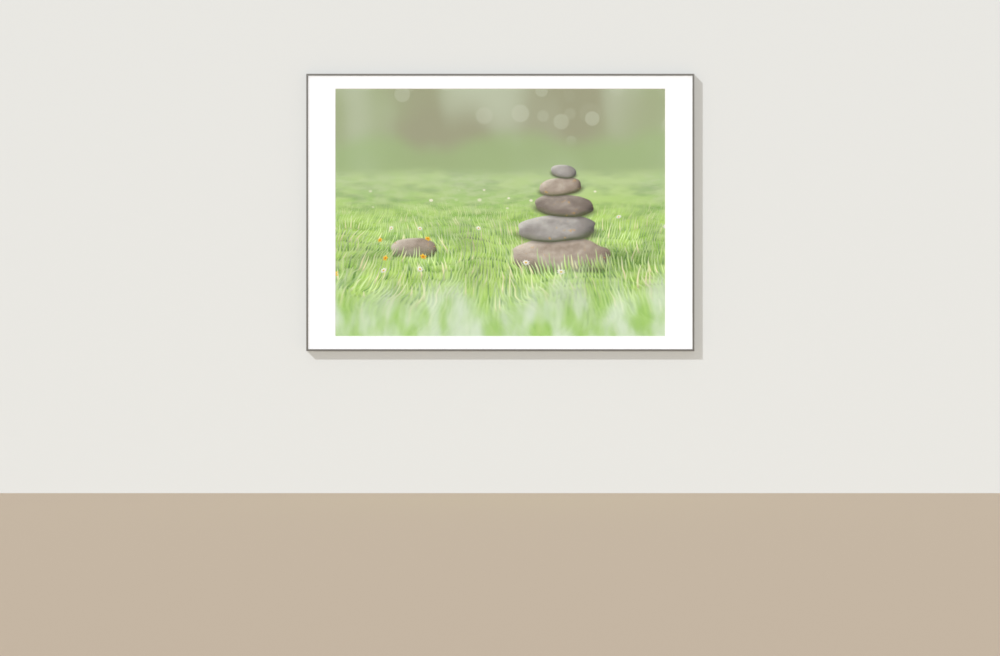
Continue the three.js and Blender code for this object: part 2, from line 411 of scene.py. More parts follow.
# Small flowers
BLOSSOM_SPREAD = 0.5
BLOSSOM_LOWEST = 0.65
BLOSSOM_RISE = 0.5
BLOSSOM_FLATNESS = 1.3
PETAL_TURN = 9
PETAL_DEPTH = 0.18
PETAL_MIDDLE = 0.82
BLOSSOM_SOFTNESS = 0.12
BLOSSOM_CENTRE = (0.5, 0.2)
BLOSSOM_LIGHT = (-1.0, 1.0)
BLOSSOM_LIGHT_GAIN = 0.3
BLOSSOM_DARKEST = 0.78

# Stones, in shares of their half width and half height
SQUARENESS = 2.5  # 2 would make ellipses
CONTACT_RING = (1.3, 0.95)
CONTACT_UPPER = (0.1, -0.5)
CONTACT_LOWER = (-1.5, -1.1)
CONTACT_COVER = 0.75
ROUNDING_POWER = 3
LIGHT_FROM_ABOVE = 0.55
LIGHT_FROM_LEFT = 0.35
LIGHT_FALL = 0.35
LIGHT_MIDDLE = 0.7
LIGHT_CLOUDS = 0.45
MIDDLE_TONES = (0.0, 0.55)
PALE_TONES = (0.5, 1.0)
UNDERSIDE_RING = (0.75, 1.02)
UNDERSIDE = (0.0, -0.9)
UNDERSIDE_COVER = 0.6
GLOW_RING = (0.5, 0.95)
GLOW = (-0.1, -0.6)
GLOW_COVER = 0.22
FOOT_SHADE = 0.14
FOOT_SHADE_COVER = 0.6
FOOT_EDGE = 0.03
FOOT_WOBBLE = 0.3
WOBBLE = 0.22
GRAIN_CONTRAST = 0.5
GRAIN_LOWEST = 0.75
LICHEN_SPOTS = (0.62, 0.68)
LICHEN_PLACES = (0.5, 0.62)
LICHEN_COVER = 0.55

# Each stone is centre x, centre y, half width, half height, tilt in degrees and tones
STACK = (
    (0.50, -0.375, 0.40, 0.165, -2, WARM_STONE),
    (0.46, -0.130, 0.31, 0.105, 3, COOL_STONE),
    (0.52, 0.055, 0.235, 0.088, -4, DARK_STONE),
    (0.485, 0.210, 0.165, 0.073, 5, WARM_STONE),
    (0.51, 0.330, 0.100, 0.055, -6, COOL_STONE),
)
STACK_ROW = 8
STACK_FOOT = -0.5
STACK_BLUR = 0.02
STACK_SHADOW = ((0.93, 0.52), (-0.39, 0.13))  # middle and half size, across and up
STACK_SHADOW_EDGE = (1.1, 0.3)
STACK_SHADOW_COVER = 0.5
LONE_STONE = (-0.70, -0.30, 0.185, 0.095, 3, WARM_STONE)
LONE_STONE_ROW = 7
LONE_STONE_FOOT = -0.385
LONE_STONE_BLUR = 0.05

# Rows of grass, from far to near
ROWS = 17
FOCUS_ROW = 8
WIND = 1.7
FARTHEST_FOOT = 0.03
FOOT_DROP = 1.15
FOOT_POWER = 1.15
FARTHEST_HEIGHT = 0.07
HEIGHT_GAIN = 0.27
SHARPEST = 0.1
BLUR_GAIN = 0.011
BLUR_POWER = 1.8
FARTHEST_BLADES = 64  # per unit
BLADES_DROP = 46
BLADES_POWER = 0.75
ROW_SHEAR = 0.3
ROW_SHEAR_TURN = 2.4
FAR_HAZE = 0.35
FAR_HAZE_POWER = 2
NEAR_HAZE = 0.45
NEAR_HAZE_START = 0.55
FARTHEST_STRENGTH = 0.3
STRENGTH_GAIN = 0.2

# The blurred grass at the bottom
VEIL = (-0.4, -0.9)
VEIL_SWELL = 0.5
VEIL_COVER = 0.85
STREAKS = (0.28, 0.72)

# Each kind of flower is how many per unit, how likely, petals, petal colour, centre colour and end
EVERYWHERE = 2.0
DAISY = (2.6, 0.55, 9, DAISY_PETAL, DAISY_CENTRE, EVERYWHERE)
BUTTERCUP = (2.4, 0.62, 5, BUTTERCUP_PETAL, BUTTERCUP_CENTRE, -0.02)

# The rows with flowers, each with a kind and a radius
FLOWERS = {
    3: (DAISY, 0.019),
    5: (DAISY, 0.023),
    7: (BUTTERCUP, 0.025),
    9: (BUTTERCUP, 0.030),
    10: (DAISY, 0.029),
    11: (BUTTERCUP, 0.034),
}


def sprinkle(u, v, per_unit, seed):
    """Random points, one in each square cell: the distance to it in cells, and two random numbers."""
    x = u * per_unit
    y = v * per_unit
    cell_x = x.floor()
    cell_y = y.floor()
    jitter_x, jitter_y, tone = dice(cell_x + cell_y * CELL_ROW_STEP + seed * SEED_STEP)
    dx = x - cell_x - CELL_EDGE + swing(jitter_x) * JITTER
    dy = y - cell_y - CELL_EDGE + swing(jitter_y) * JITTER
    return length(dx, dy), tone, jitter_x


def background(u, v):
    """Trees, slopes and light through leaves, far out of focus."""
    wide = clouds(u.tree, across=0.9, up=1.1, seed=1, detail=1)
    tall = clouds(u.tree, across=1.5, up=0.8, seed=2, detail=1)
    colour = blend(ramp(wide, *NOISE_SPAN), DISTANT_BROWN, DISTANT_OLIVE)
    colour = blend(ramp(tall, *TRUNKS) * TRUNK_COVER, colour, DISTANT_LIGHT)
    for per_unit, seed in DISCS:
        gap, tone, size = sprinkle(u, v, per_unit, seed)
        inside = ramp(gap - size * DISC_GROWTH, *DISC_RIM)
        disc = inside * ramp(tone, *DISC_CHANCE) * ramp(v, *DISC_HEIGHTS)
        colour = blend(disc * DISC_COVER, colour, HAZE)
    ridge = RIDGE + swing(clouds(u.tree, across=1.1, up=0.1, seed=4)) * RIDGE_SWELL
    return blend(ramp(v - ridge, RIDGE_BLUR, -RIDGE_BLUR) * RIDGE_COVER, colour, DISTANT_GREEN)


def far_meadow(colour, u, v):
    """Distant grass with tufts, hollows and blurred blossoms, up to the horizon."""
    edge = swing(clouds(u.tree, across=0.7, up=0.2, seed=5, detail=1)) * MEADOW_SWELL
    tufts = clouds(u.tree, across=8, up=26, seed=6, detail=3, roughness=0.6)
    patches = clouds(u.tree, across=1.8, up=4, seed=7)
    hollows = clouds(u.tree, across=4, up=13, seed=17)
    meadow = blend(ramp(tufts, *NOISE_SPAN) * TUFT_COVER, FAR_GRASS, GRASS_MIDDLE)
    meadow = blend(ramp(patches, *NOISE_SPAN) * PATCH_COVER, meadow, GRASS_LIGHT)
    meadow = blend(ramp(hollows, *HOLLOWS) * HOLLOW_COVER, meadow, GRASS_DEEP)
    meadow = blend(ramp(v, *MEADOW_HAZE) * MEADOW_HAZE_COVER, meadow, DISTANT_LIGHT)
    gap, tone, size = sprinkle(u, v * FAR_BLOSSOM_FLATNESS, FAR_BLOSSOMS_PER_UNIT, seed=21)
    inside = ramp(gap - size * FAR_BLOSSOM_GROWTH, *FAR_BLOSSOM_RIM)
    blossom = inside * ramp(tone, *FAR_BLOSSOM_CHANCE)
    blossom = blossom * ramp(v, *FAR_BLOSSOM_TOP) * ramp(v, *FAR_BLOSSOM_BOTTOM)
    meadow = blend(blossom * FAR_BLOSSOM_COVER, meadow, FAR_BLOSSOM)
    return blend(ramp(v + edge, *MEADOW_EDGE), colour, meadow)


def paint_blades(
    colour, u, rise, wind, patches, height, per_unit, blur, shear, haze, strength, seed
):
    """A row of grass blades, each with its own length, lean and tone."""
    rise = rise + patches * height
    x = (u + (wind + shear) * rise) * per_unit + seed * BLADE_ROW_SHIFT
    cell = x.floor()
    tone, reach, lean = dice(cell + seed * SEED_STEP)
    up = rise / ((reach * (1 - SHORTEST_BLADE) + SHORTEST_BLADE) * height)
    middle = x - cell - CELL_EDGE
    across = middle + swing(lean) * BLADE_LEAN * up * up
    half = (1 - up).at_least(0) ** BLADE_TAPER * BLADE_HALF_WIDTH
    cover = ramp(abs(across) - half, blur, -blur)
    cover = cover * ramp(abs(middle), CELL_EDGE, CELL_EDGE - blur.at_most(CELL_EDGE_BLUR))
    cover = cover * ramp(up, *BLADE_TIP) * ramp(rise / height, *BLADE_ROOT)
    body = blend(ramp(tone, *GREENS), GRASS_DEEP, GRASS_LIGHT)
    body = blend(ramp(tone, *DRY_BLADES), body, STRAW)
    body = blend(ramp(up, *LIT_TIP) * LIT_TIP_COVER, body, GRASS_PALE)
    body = blend(ramp(up, *SHADED_ROOT) * SHADED_ROOT_COVER, body, GRASS_SHADE)
    body = shade(body, patches * PATCH_CONTRAST + 1.0 - across * BLADE_ROUNDNESS)
    body = blend(haze, body, GRASS_PALE)
    return blend(cover * strength, colour, body)


def paint_blossoms(
    colour, petal, centre, u, rise, wind, height, per_unit, blur, radius, chance, petals, end, seed
):
    """Small flowers at the height of a row's tips, as far as an end on the right."""
    x = (u + wind * rise) * per_unit
    cell = x.floor()
    roll, jitter, reach = dice(cell + seed * SEED_STEP + BLOSSOM_STEP)
    dx = (x - cell - CELL_EDGE - swing(jitter) * BLOSSOM_SPREAD) / per_unit
    dy = (rise - (reach * BLOSSOM_RISE + BLOSSOM_LOWEST) * height) * BLOSSOM_FLATNESS
    gap = length(dx, dy)
    wave = (dy.angle_of(dx) * petals + jitter * PETAL_TURN).cosine()
    rim = (wave * PETAL_DEPTH + PETAL_MIDDLE) * radius
    soft = radius * (blur + BLOSSOM_SOFTNESS)
    cover = ramp(gap - rim, soft, -soft) * (roll < chance) * (cell < end * per_unit - 1)
    body = blend(ramp(gap / radius, *BLOSSOM_CENTRE), petal, centre)
    light = ramp(dy / radius, *BLOSSOM_LIGHT) * BLOSSOM_LIGHT_GAIN + BLOSSOM_DARKEST
    return blend(cover, colour, shade(body, light))


def paint_stone(
    colour,
    dark,
    middle,
    pale,
    u,
    v,
    wobble,
    cloud,
    grain,
    spots,
    blur,
    rests,
    foot,
    x,
    y,
    half_width,
    half_height,
    tilt,
):
    """One smooth stone, lit from the upper left, down to its foot.

    If it rests on another, a dark line is under it.
    """
    dx = u - x
    dy = v - y
    along = (dx + dy * tilt) / half_width
    up = (dy - dx * tilt) / half_height
    radius = (abs(along) ** SQUARENESS + abs(up) ** SQUARENESS) ** (1 / SQUARENESS) + wobble
    contact = ramp(radius, *CONTACT_RING) * ramp(up, *CONTACT_UPPER) * ramp(up, *CONTACT_LOWER)
    colour = blend(contact * rests * CONTACT_COVER, colour, STONE_CREVICE)
    slope = radius.at_most(1.0) ** ROUNDING_POWER
    light = up * slope * LIGHT_FROM_ABOVE - along * slope * LIGHT_FROM_LEFT
    light = light - slope * LIGHT_FALL + LIGHT_MIDDLE + cloud * LIGHT_CLOUDS
    body = blend(ramp(light, *MIDDLE_TONES), dark, middle)
    body = blend(ramp(light, *PALE_TONES), body, pale)
    body = blend(spots, body, LICHEN)
    body = shade(body, grain)
    underside = ramp(radius, *UNDERSIDE_RING) * ramp(up, *UNDERSIDE)
    body = blend(underside * UNDERSIDE_COVER, body, STONE_CREVICE)
    glow = ramp(radius, *GLOW_RING) * ramp(up, *GLOW)
    body = blend(glow * GLOW_COVER, body, GRASS_GLOW)
    body = blend(ramp(v, foot + FOOT_SHADE, foot) * FOOT_SHADE_COVER, body, GRASS_SHADE)
    above_foot = ramp(v + wobble * FOOT_WOBBLE, foot, foot + FOOT_EDGE)
    return blend(ramp(radius, blur + 1, 1 - blur) * above_foot, colour, body)


add_blades = grouped(
    "blades",
    "colour",
    "u rise wind patches height per_unit blur shear haze strength seed",
    paint_blades,
)
add_blossoms = grouped(
    "blossoms",
    "colour petal centre",
    "u rise wind height per_unit blur radius chance petals end seed",
    paint_blossoms,
)
add_stone = grouped(
    "stone",
    "colour dark middle pale",
    "u v wobble cloud grain spots blur rests foot x y half_width half_height tilt",
    paint_stone,
)


def stone_surface(tree, u, v):
    """What all the stones share: the place, and noise for their outline, tones, grain and lichen."""
    cloud = clouds(tree, across=9, up=14, seed=12, detail=3)
    outline = clouds(tree, across=4.5, up=11, seed=11, detail=1)
    grain = clouds(tree, across=110, up=110, seed=13, detail=3, roughness=0.7)
    lichen = clouds(tree, across=26, up=30, seed=14, detail=3, roughness=0.6)
    return {
        "u": u,
        "v": v,
        "wobble": swing(outline) * WOBBLE,
        "cloud": swing(cloud),
        "grain": grain * GRAIN_CONTRAST + GRAIN_LOWEST,
        "spots": ramp(lichen, *LICHEN_SPOTS) * ramp(cloud, *LICHEN_PLACES) * LICHEN_COVER,
    }


def lay_stone(tree, colour, shape, surface, blur, rests, foot):
    """Paints a stone from its row of numbers."""
    x, y, half_width, half_height, tilt, (dark, middle, pale) = shape
    return add_stone(
        tree,
        colour=colour,
        dark=dark,
        middle=middle,
        pale=pale,
        blur=blur,
        rests=rests,
        foot=foot,
        x=x,
        y=y,
        half_width=half_width,
        half_height=half_height,
        tilt=math.tan(math.radians(tilt)),
        **surface,
    )


def lay_stack(tree, colour, surface, u, v):
    """Paints the stack's shadow on the grass, and its stones from the bottom up."""
    (x, half_width), (y, half_height) = STACK_SHADOW
    shadow = ramp(length((u - x) / half_width, (v - y) / half_height), *STACK_SHADOW_EDGE)
    colour = blend(shadow * STACK_SHADOW_COVER, colour, GRASS_SHADE)
    for order, shape in enumerate(STACK):
        rests = float(order > 0)
        colour = lay_stone(tree, colour, shape, surface, STACK_BLUR, rests, STACK_FOOT)
    return colour


def picture(tree, u, v):
    """The whole picture's colour, painted from far to near."""
    colour = far_meadow(background(u, v), u, v)
    wind = swing(clouds(tree, across=1.7, up=1.2, seed=9, detail=0)) * WIND
    patches = swing(clouds(tree, across=2.2, up=3.5, seed=10))
    surface = stone_surface(tree, u, v)
    for index in range(ROWS):
        near = index / (ROWS - 1)
        row = {
            "u": u,
            "rise": v - (FARTHEST_FOOT - FOOT_DROP * near**FOOT_POWER),
            "wind": wind,
            "height": FARTHEST_HEIGHT + HEIGHT_GAIN * near,
            "blur": SHARPEST + BLUR_GAIN * abs(index - FOCUS_ROW) ** BLUR_POWER,
            "seed": index,
        }
        far_haze = FAR_HAZE * (1 - near) ** FAR_HAZE_POWER
        near_haze = NEAR_HAZE * max(0.0, near - NEAR_HAZE_START)
        if index == LONE_STONE_ROW:
            colour = lay_stone(
                tree, colour, LONE_STONE, surface, LONE_STONE_BLUR, 0.0, LONE_STONE_FOOT
            )
        if index == STACK_ROW:
            colour = lay_stack(tree, colour, surface, u, v)
        colour = add_blades(
            tree,
            colour=colour,
            patches=patches,
            per_unit=FARTHEST_BLADES - BLADES_DROP * near**BLADES_POWER,
            shear=ROW_SHEAR * math.sin(index * ROW_SHEAR_TURN),
            haze=far_haze + near_haze,
            strength=min(1.0, FARTHEST_STRENGTH + index * STRENGTH_GAIN),
            **row,
        )
        if index in FLOWERS:
            (per_unit, chance, petals, petal, centre, end), radius = FLOWERS[index]
            colour = add_blossoms(
                tree,
                colour=colour,
                petal=petal,
                centre=centre,
                per_unit=per_unit,
                radius=radius,
                chance=chance,
                petals=petals,
                end=end,
                **row,
            )
    swell = swing(clouds(tree, across=2.4, up=2.0, seed=15, detail=1)) * VEIL_SWELL
    streaks = clouds(tree, across=5.5, up=2.8, seed=16, detail=2, roughness=0.4)
    near_grass = blend(ramp(streaks, *STREAKS), GRASS_NEAR, GRASS_SOFT)
    return blend(ramp(v + swell, *VEIL) * VEIL_COVER, colour, near_grass)


# The print's own piece

PAPER_GRAIN = 1400  # blobs per metre
PAPER_RELIEF = 0.000008
PRINTED_EDGE = 0.0002
WINDOW_SHARE = 0.75  # of the UV map's height
SPARE_UV = (WINDOW_SHARE + 0.05, 0.15)  # where the other faces start, and their height
SPARE_UV_INSET = 0.1  # of a face's share of the width, on either side
GRID = 3  # faces across and up


def print_finish():
    """Satin paper with the picture where the window is, and bare around it and on the back."""
    made, tree, shader = new_material("print_finish", roughness=0.4)
    x, y, z = coordinates(tree)
    colour = shade(picture(tree, x / UNIT, z / UNIT), PRINT_EXPOSURE)
    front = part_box("print_sheet")[0].y
    half_width = WINDOW_WIDTH / 2 + UNDER_MAT
    half_height = WINDOW_HEIGHT / 2 + UNDER_MAT
    printed = ramp(abs(x), half_width + PRINTED_EDGE, half_width)
    printed = printed * ramp(abs(z), half_height + PRINTED_EDGE, half_height)
    printed = printed * ramp(y, front + PRINTED_EDGE, front)
    feed(tree, shader.inputs["Base Color"], blend(printed, PAPER_WHITE, colour))
    shader.inputs["Specular IOR Level"].default_value = 0.3
    grain = noise(x * PAPER_GRAIN, z * PAPER_GRAIN, seed=90)
    emboss(tree, shader, grain, PAPER_RELIEF)
    return made


def add_grid_faces(mesh, front, back):
    """Closes a flat box whose front and back are grids of points with the same columns and rows."""
    steps = range(GRID)
    for j in steps:
        for i in steps:
            mesh.faces.new((front[j][i], front[j][i + 1], front[j + 1][i + 1], front[j + 1][i]))
            mesh.faces.new((back[j][i], back[j + 1][i], back[j + 1][i + 1], back[j][i + 1]))
    for i in steps:
        mesh.faces.new((front[0][i], back[0][i], back[0][i + 1], front[0][i + 1]))
        mesh.faces.new((front[GRID][i + 1], back[GRID][i + 1], back[GRID][i], front[GRID][i]))
        mesh.faces.new((front[i + 1][0], back[i + 1][0], back[i][0], front[i][0]))
        mesh.faces.new((front[i][GRID], back[i][GRID], back[i + 1][GRID], front[i + 1][GRID]))


def picture_print():
    """The printed sheet, with a UV map that gives most of its area to what the window shows."""
    low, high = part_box("print_sheet")
    columns = [low.x, -WINDOW_WIDTH / 2 - UNDER_MAT, WINDOW_WIDTH / 2 + UNDER_MAT, high.x]
    rows = [low.z, -WINDOW_HEIGHT / 2 - UNDER_MAT, WINDOW_HEIGHT / 2 + UNDER_MAT, high.z]
    mesh = bmesh.new()
    front = [[mesh.verts.new((x, low.y, z)) for x in columns] for z in rows]
    back = [[mesh.verts.new((x, high.y, z)) for x in columns] for z in rows]
    layer = mesh.loops.layers.uv.new("OFBake")
    add_grid_faces(mesh, front, back)
    window = front[1][1], front[1][2], front[2][2], front[2][1]
    corners = (0, 0), (1, 0), (1, 1), (0, 1)
    spare_start, spare_height = SPARE_UV
    spare_width = 1 - 2 * SPARE_UV_INSET
    faces = len(mesh.faces)
    for order, face in enumerate(mesh.faces):
        shown = set(face.verts) == set(window)
        for loop, (across, up) in zip(face.loops, corners):
            if shown:
                across, up = corners[window.index(loop.vert)]
                loop[layer].uv = (across, up * WINDOW_SHARE)
            else:
                u = (order + SPARE_UV_INSET + across * spare_width) / faces
                loop[layer].uv = (u, spare_start + up * spare_height)
    data = bpy.data.meshes.new("print")
    mesh.to_mesh(data)
    mesh.free()
    piece = bpy.data.objects.new("print", data)
    bpy.context.scene.collection.objects.link(piece)
    data.materials.append(print_finish())
    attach(piece, BODY)
    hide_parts("print_sheet")


# Finishes of the other pieces. Noise is given in blobs per metre, and relief in metres.

MAT_LOW = (0.875, 0.886, 0.9, 1)
MAT_HIGH = (0.9, 0.911, 0.925, 1)
MAT_CORE_LOW = (0.86, 0.87, 0.885, 1)
MAT_CORE_HIGH = (0.93, 0.935, 0.94, 1)
RAIL_WARM = (0.266, 0.256, 0.236, 1)
RAIL_COOL = (0.256, 0.25, 0.236, 1)
BOARD_DARK = linear(112, 80, 54)
BOARD_LIGHT = linear(160, 122, 86)
BOARD_PALE = linear(190, 156, 116)
ZINC = (0.56, 0.575, 0.59, 1)
ZINC_LIGHT = (0.66, 0.67, 0.675, 1)
NICKEL = (0.58, 0.565, 0.53, 1)
NICKEL_LIGHT = (0.68, 0.66, 0.62, 1)
SPRING_BLUE = (0.16, 0.175, 0.2, 1)
SPRING_LIGHT = (0.24, 0.25, 0.265, 1)
PASSIVATED = (0.6, 0.52, 0.34, 1)
PASSIVATED_LIGHT = (0.68, 0.62, 0.46, 1)
RUBBER = linear(48, 48, 50)
RUBBER_DUSTY = linear(84, 82, 80)

MAT_FIBRES = 1600
MAT_MOTTLE = 60
MAT_SHADING = 0.03
MAT_CUT = (0.00005, 0.00015)  # how far behind the mat's face its core shows
MAT_STRATA_ALONG = 40
MAT_STRATA_THROUGH = 6000
MAT_RELIEF = 0.00003

RAIL_SKEW = 0.83  # keeps the brushing of two faces at a corner apart
RAIL_LINES = (14, 5200)  # along and across the rail
RAIL_BANDS = (3, 420)
RAIL_CLOUDS = (11, 70)
RAIL_LINE_TONE = 0.34
RAIL_BAND_TONE = 0.14
RAIL_CLOUD_TONE = 0.06
RAIL_LINE_GLOSS = 0.24
RAIL_BAND_GLOSS = 0.08
RAIL_ROUGHNESS = 0.37
RAIL_RELIEF = 0.000012

BOARD_FIBRES = 700
BOARD_STRANDS = (260, 900)  # along and across the strands
BOARD_STRAND_SLANT = (90, 300)
BOARD_STRAND_SPAN = (0.6, 0.75)
BOARD_STRAND_COVER = 0.5
BOARD_MOTTLE = 22
BOARD_MOTTLE_TONE = 0.3
BOARD_GLOSS = 0.2
BOARD_ROUGHNESS = 0.68
SCREEN_PITCH = 0.0012
SCREEN_LINES = 2 * math.pi / SCREEN_PITCH
SCREEN_SHARE = 0.7
FIBRE_SHARE = 0.5
BOARD_RELIEF = 0.00006

METAL_SKEW = 0.6
METAL_PATCHES = 240
METAL_SCRATCHES = (90, 2600)
METAL_PATCH_GLOSS = 0.25
METAL_RELIEF = 0.000008

RUBBER_GRAIN = 2600
RUBBER_GRAIN_SKEW = 900
RUBBER_DUST = 500
RUBBER_DUST_SPAN = (0.45, 0.8)
RUBBER_DUST_COVER = 0.5
RUBBER_TONE = (0.3, 0.85)  # how much the grain adds, and to what
RUBBER_ROUGHNESS = (0.2, 0.65)
RUBBER_RELIEF = 0.00003


def mat_finish():
    """White mat board: a faintly fibrous face, and a smoother, brighter core where it is cut."""
    made, tree, shader = new_material("mat_finish", roughness=0.9)
    x, y, z = coordinates(tree)
    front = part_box("window_mat")[0].y
    cut_start, cut_end = MAT_CUT
    fibres = noise(x * MAT_FIBRES, z * MAT_FIBRES, seed=1, detail=3, roughness=0.6)
    mottle = noise(x * MAT_MOTTLE, z * MAT_MOTTLE, seed=2, detail=3)
    tone = fibres * MAT_SHADING + (1 - MAT_SHADING / 2)
    face = shade(blend(mottle, MAT_LOW, MAT_HIGH), tone)
    cut = ramp(y, front + cut_start, front + cut_end)
    along = x * MAT_STRATA_ALONG + z * MAT_STRATA_ALONG
    strata = noise(along, y * MAT_STRATA_THROUGH, seed=3, detail=1)
    core = blend(strata, MAT_CORE_LOW, MAT_CORE_HIGH)
    feed(tree, shader.inputs["Base Color"], blend(cut, face, core))
    shader.inputs["Specular IOR Level"].default_value = 0.25
    emboss(tree, shader, fibres, MAT_RELIEF)
    return made


def acrylic_finish():
    """Clear sheet. Only its outer faces reflect, and faintly."""
    made = bpy.data.materials.new("acrylic_finish")
    made.use_nodes = True
    tree = made.node_tree
    tree.nodes.clear()
    output = tree.nodes.new("ShaderNodeOutputMaterial")
    clear = tree.nodes.new("ShaderNodeBsdfTransparent")
    gloss = tree.nodes.new("ShaderNodeBsdfGlossy")
    gloss.inputs["Roughness"].default_value = 0.02
    fresnel = tree.nodes.new("ShaderNodeFresnel")
    fresnel.inputs["IOR"].default_value = 1.25
    side = tree.nodes.new("ShaderNodeNewGeometry")
    outer = 1 - Field(tree, side.outputs["Backfacing"])
    mix = tree.nodes.new("ShaderNodeMixShader")
    feed(tree, mix.inputs[0], outer * Field(tree, fresnel.outputs[0]))
    tree.links.new(clear.outputs[0], mix.inputs[1])
    tree.links.new(gloss.outputs[0], mix.inputs[2])
    tree.links.new(mix.outputs[0], output.inputs["Surface"])
    return made


def rail_finish(name, lengthwise):
    """Anodised aluminium, brushed along the rail."""
    made, tree, shader = new_material(name, metallic=1.0)
    x, y, z = coordinates(tree)
    run, cross = (x, z) if lengthwise == "x" else (z, x)
    skewed = cross + y * RAIL_SKEW
    line_run, line_cross = RAIL_LINES
    band_run, band_cross = RAIL_BANDS
    cloud_run, cloud_cross = RAIL_CLOUDS
    lines = noise(run * line_run, skewed * line_cross, seed=1, detail=3, roughness=0.75)
    bands = noise(run * band_run, skewed * band_cross, seed=2)
    cloud = noise(run * cloud_run, (cross + y) * cloud_cross, seed=3)
    tone = swing(lines) * RAIL_LINE_TONE + swing(bands) * RAIL_BAND_TONE
    tone = tone + swing(cloud) * RAIL_CLOUD_TONE + 1.0
    gloss = swing(lines) * RAIL_LINE_GLOSS + swing(bands) * RAIL_BAND_GLOSS
    body = blend(ramp(cloud, *WIDE_NOISE_SPAN), RAIL_WARM, RAIL_COOL)
    feed(tree, shader.inputs["Base Color"], shade(body, tone))
    feed(tree, shader.inputs["Roughness"], gloss + RAIL_ROUGHNESS)
    emboss(tree, shader, lines, RAIL_RELIEF)
    return made


def board_finish():
    """Hardboard: pressed brown fibres, with the print of the press's screen on it."""
    made, tree, shader = new_material("board_finish")
    x, _, z = coordinates(tree)
    strand_run, strand_cross = BOARD_STRANDS
    slant_run, slant_cross = BOARD_STRAND_SLANT
    along = x * strand_run + z * slant_run
    across = z * strand_cross - x * slant_cross
    fibres = noise(x * BOARD_FIBRES, z * BOARD_FIBRES, seed=1, detail=4, roughness=0.7)
    strands = noise(along, across, seed=2, detail=3)
    mottle = noise(x * BOARD_MOTTLE, z * BOARD_MOTTLE, seed=3, detail=3)
    body = blend(ramp(fibres, *WIDE_NOISE_SPAN), BOARD_DARK, BOARD_LIGHT)
    body = blend(ramp(strands, *BOARD_STRAND_SPAN) * BOARD_STRAND_COVER, body, BOARD_PALE)
    body = shade(body, swing(mottle) * BOARD_MOTTLE_TONE + 1.0)
    feed(tree, shader.inputs["Base Color"], body)
    feed(tree, shader.inputs["Roughness"], fibres * BOARD_GLOSS + BOARD_ROUGHNESS)
    screen = (x * SCREEN_LINES).cosine() * (z * SCREEN_LINES).cosine() * 0.5 + 0.5
    emboss(tree, shader, screen * SCREEN_SHARE + fibres * FIBRE_SHARE, BOARD_RELIEF)
    return made


def metal_finish(name, low, high, roughness, grain):
    """Plated steel: two close tones in soft patches, fine scratches and a slightly uneven gloss."""
    made, tree, shader = new_material(name, metallic=1.0)
    x, y, z = coordinates(tree)
    across = x + y * METAL_SKEW
    upward = z + y * METAL_SKEW
    run, cross = METAL_SCRATCHES
    patches = noise(across * METAL_PATCHES, upward * METAL_PATCHES, seed=4, detail=3, roughness=0.6)
    scratches = noise(across * run, (z + y) * cross, seed=5, roughness=0.7)
    gloss = swing(patches) * METAL_PATCH_GLOSS + swing(scratches) * grain
    body = blend(ramp(patches, *NOISE_SPAN), low, high)
    feed(tree, shader.inputs["Base Color"], shade(body, swing(scratches) * grain + 1.0))
    feed(tree, shader.inputs["Roughness"], gloss + roughness)
    emboss(tree, shader, scratches, METAL_RELIEF)
    return made


def rubber_finish():
    """Moulded rubber: fine grain, and a little dust."""
    made, tree, shader = new_material("bumper_finish")
    x, y, z = coordinates(tree)
    skew = y * RUBBER_GRAIN_SKEW
    tone_gain, tone_start = RUBBER_TONE
    gloss_gain, gloss_start = RUBBER_ROUGHNESS
    grain = noise(x * RUBBER_GRAIN + skew, z * RUBBER_GRAIN - skew, seed=6)
    dust = noise(x * RUBBER_DUST, z * RUBBER_DUST + y * RUBBER_DUST, seed=7, detail=3)
    body = blend(ramp(dust, *RUBBER_DUST_SPAN) * RUBBER_DUST_COVER, RUBBER, RUBBER_DUSTY)
    feed(tree, shader.inputs["Base Color"], shade(body, grain * tone_gain + tone_start))
    feed(tree, shader.inputs["Roughness"], grain * gloss_gain + gloss_start)
    emboss(tree, shader, grain, RUBBER_RELIEF)
    return made


# Shading and softened edges

SHARP_ANGLE = math.radians(28)
FLAT_ANGLE = math.radians(0.3)
WELD = 0.000002
RAIL_EDGE = 0.00022
BOARD_EDGE = 0.0003
PLATE_EDGE = 0.00015
FINE_EDGE = 0.0001
NO_EDGE = 0.0  # left as the solids have it


def smooth_shading():
    """A node group that welds a mesh and shades it smooth, apart from edges sharper than an angle."""
    group = bpy.data.node_groups.new("smooth_shading", "GeometryNodeTree")
    for way in ("INPUT", "OUTPUT"):
        group.interface.new_socket("Geometry", in_out=way, socket_type="NodeSocketGeometry")
    nodes = group.nodes
    entry = nodes.new("NodeGroupInput")
    weld = nodes.new("GeometryNodeMergeByDistance")
    weld.inputs["Distance"].default_value = WELD
    strip = nodes.new("GeometryNodeRemoveAttribute")
    strip.inputs["Name"].default_value = "custom_normal"
    faces = nodes.new("GeometryNodeSetShadeSmooth")
    edges = nodes.new("GeometryNodeSetShadeSmooth")
    edges.domain = "EDGE"
    angle = nodes.new("GeometryNodeInputMeshEdgeAngle")
    soft = nodes.new("FunctionNodeCompare")
    soft.operation = "LESS_THAN"
    soft.inputs[1].default_value = SHARP_ANGLE
    leave = nodes.new("NodeGroupOutput")
    chain = [entry, weld, strip, faces, edges, leave]
    for before, after in zip(chain, chain[1:]):
        group.links.new(before.outputs[0], after.inputs[0])
    group.links.new(angle.outputs["Unsigned Angle"], soft.inputs[0])
    group.links.new(soft.outputs[0], edges.inputs["Shade Smooth"])
    return group


